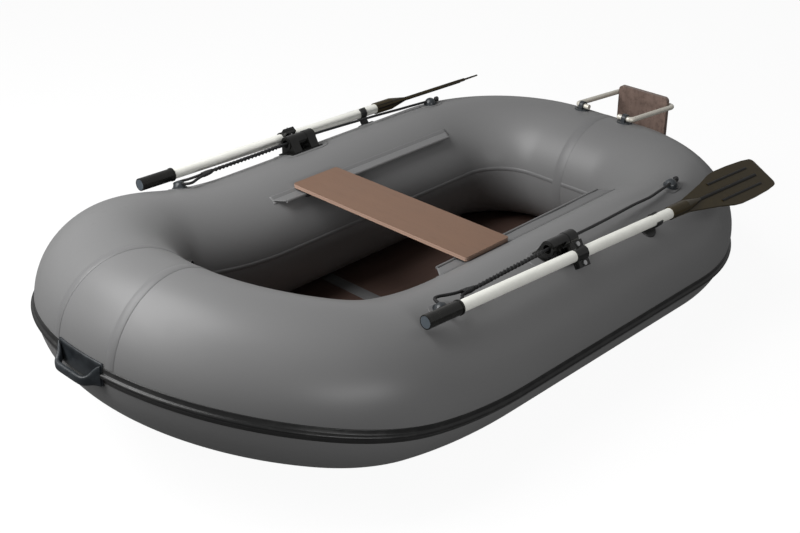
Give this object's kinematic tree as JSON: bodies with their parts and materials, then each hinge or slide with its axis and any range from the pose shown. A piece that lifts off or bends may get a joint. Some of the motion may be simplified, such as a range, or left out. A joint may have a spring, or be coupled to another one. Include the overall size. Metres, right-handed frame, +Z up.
{
  "type": "inflatable rowing dinghy",
  "caption": "Round-ended inflatable rowing dinghy with hard floor, sliding thwart seat, oars stowed along the tubes on swivelling oarlocks, and a stern motor bracket.",
  "frame": {"origin": "on the flat underside of the bottom, on the middle line, 45 mm ahead of the oarlocks", "axes": "+X to the bow, +Y to port, +Z up"},
  "size_m": [2.2213, 1.2462, 0.5114],
  "materials": {
    "hull_fabric": "satin coated fabric, mid grey",
    "black_rubber": "satin black rubber",
    "black_nylon": "satin black moulding",
    "cord": "braided black cord",
    "floor_ply": "dark brown film-faced plywood",
    "seat_ply": "brown varnished plywood",
    "plate_ply": "brown film-faced plywood",
    "alloy": "satin anodised tube",
    "steel": "bright plated steel"
  },
  "bodies": {
    "hull": {"bow_panel": "hull_fabric", "port_bow_tube": "hull_fabric", "starboard_bow_tube": "hull_fabric", "shoulder_tubes": "hull_fabric", "sheer_tubes": "hull_fabric", "side_tubes": "hull_fabric", "stern_corner_tubes": "hull_fabric", "chamber_bulkheads": "hull_fabric", "seam_tapes": "hull_fabric", "glued_patches": "hull_fabric", "bottom_skin": "hull_fabric", "rub_strake": "black_rubber", "handle_plate": "black_rubber", "bow_handle": "black_rubber", "floor_bow_board": "floor_ply", "floor_fore_board": "floor_ply", "floor_mid_board": "floor_ply", "floor_aft_board": "floor_ply", "floor_hinges": "hull_fabric", "seat_rails": "hull_fabric", "rail_ropes": "cord", "port_oarlock_base": "black_nylon", "starboard_oarlock_base": "black_nylon", "line_eyelets": "black_nylon", "port_grab_line": "cord", "starboard_grab_line": "cord", "port_oar_clip": "black_rubber", "starboard_oar_clip": "black_rubber", "valve_bodies": "black_nylon", "transom_plate": "plate_ply", "upper_bracket_tube": "alloy", "lower_bracket_tube": "alloy", "bracket_eyelets": "black_rubber", "bracket_saddles": "steel", "bracket_bolts": "steel"},
    "seat": {"seat_board": "seat_ply", "seat_channels": "alloy", "seat_screws": "steel"},
    "port_swivel": {"port_oar_swivel": "black_nylon"},
    "port_oar": {"port_oar_shaft": "alloy", "port_oar_grip": "black_nylon", "port_oar_plug": "black_nylon", "port_oar_blade": "black_nylon", "port_clamp_base": "black_nylon", "port_clamp_cap": "black_nylon", "port_clamp_bolts": "steel"},
    "port_cap": {"port_valve_cap": "black_nylon"},
    "port_stem": {"port_valve_stem": "steel"},
    "starboard_swivel": {"starboard_oar_swivel": "black_nylon"},
    "starboard_oar": {"starboard_oar_shaft": "alloy", "starboard_oar_grip": "black_nylon", "starboard_oar_plug": "black_nylon", "starboard_oar_blade": "black_nylon", "starboard_clamp_base": "black_nylon", "starboard_clamp_cap": "black_nylon", "starboard_clamp_bolts": "steel"},
    "starboard_cap": {"starboard_valve_cap": "black_nylon"},
    "starboard_stem": {"starboard_valve_stem": "steel"}
  },
  "joints": [
    {"name": "seat_slide", "type": "slide", "parent": "hull", "child": "seat", "axis": [1, 0, 0], "range_m": [-0.43, 0.065]},
    {"name": "port_oar_lift", "type": "hinge", "parent": "hull", "child": "port_swivel", "pos_m": [-0.045, 0.48945, 0.40481], "axis": [1, 0, 0], "range_deg": [0, 57], "deforming": ["port_oar_clip"]},
    {"name": "port_oar_swing", "type": "hinge", "parent": "port_swivel", "child": "port_oar", "pos_m": [-0.045, 0.54815, 0.39421], "axis": [0, -0.8387, -0.5446], "range_deg": [0, 140], "deforming": ["port_oar_clip"]},
    {"name": "starboard_oar_lift", "type": "hinge", "parent": "hull", "child": "starboard_swivel", "pos_m": [-0.045, -0.48945, 0.40481], "axis": [-1, 0, 0], "range_deg": [0, 57], "deforming": ["starboard_oar_clip"]},
    {"name": "starboard_oar_swing", "type": "hinge", "parent": "starboard_swivel", "child": "starboard_oar", "pos_m": [-0.045, -0.54815, 0.39421], "axis": [0, -0.8387, 0.5446], "range_deg": [0, 140], "deforming": ["starboard_oar_clip"]},
    {"name": "port_valve_cap_turn", "type": "hinge", "parent": "hull", "child": "port_cap", "pos_m": [0.64797, 0.12809, 0.36323], "axis": [-0.8876, -0.366, 0.2798], "range_deg": [0, 90]},
    {"name": "port_valve_press", "type": "slide", "parent": "hull", "child": "port_stem", "axis": [0.8876, 0.366, -0.2798], "range_m": [0, 0.006], "stiffness_N_per_m": 500, "springref_m": -0.004},
    {"name": "starboard_valve_cap_turn", "type": "hinge", "parent": "hull", "child": "starboard_cap", "pos_m": [0.64797, -0.12809, 0.36323], "axis": [-0.8876, 0.366, 0.2798], "range_deg": [0, 90]},
    {"name": "starboard_valve_press", "type": "slide", "parent": "hull", "child": "starboard_stem", "axis": [0.8876, -0.366, -0.2798], "range_m": [0, 0.006], "stiffness_N_per_m": 500, "springref_m": -0.004}
  ]
}
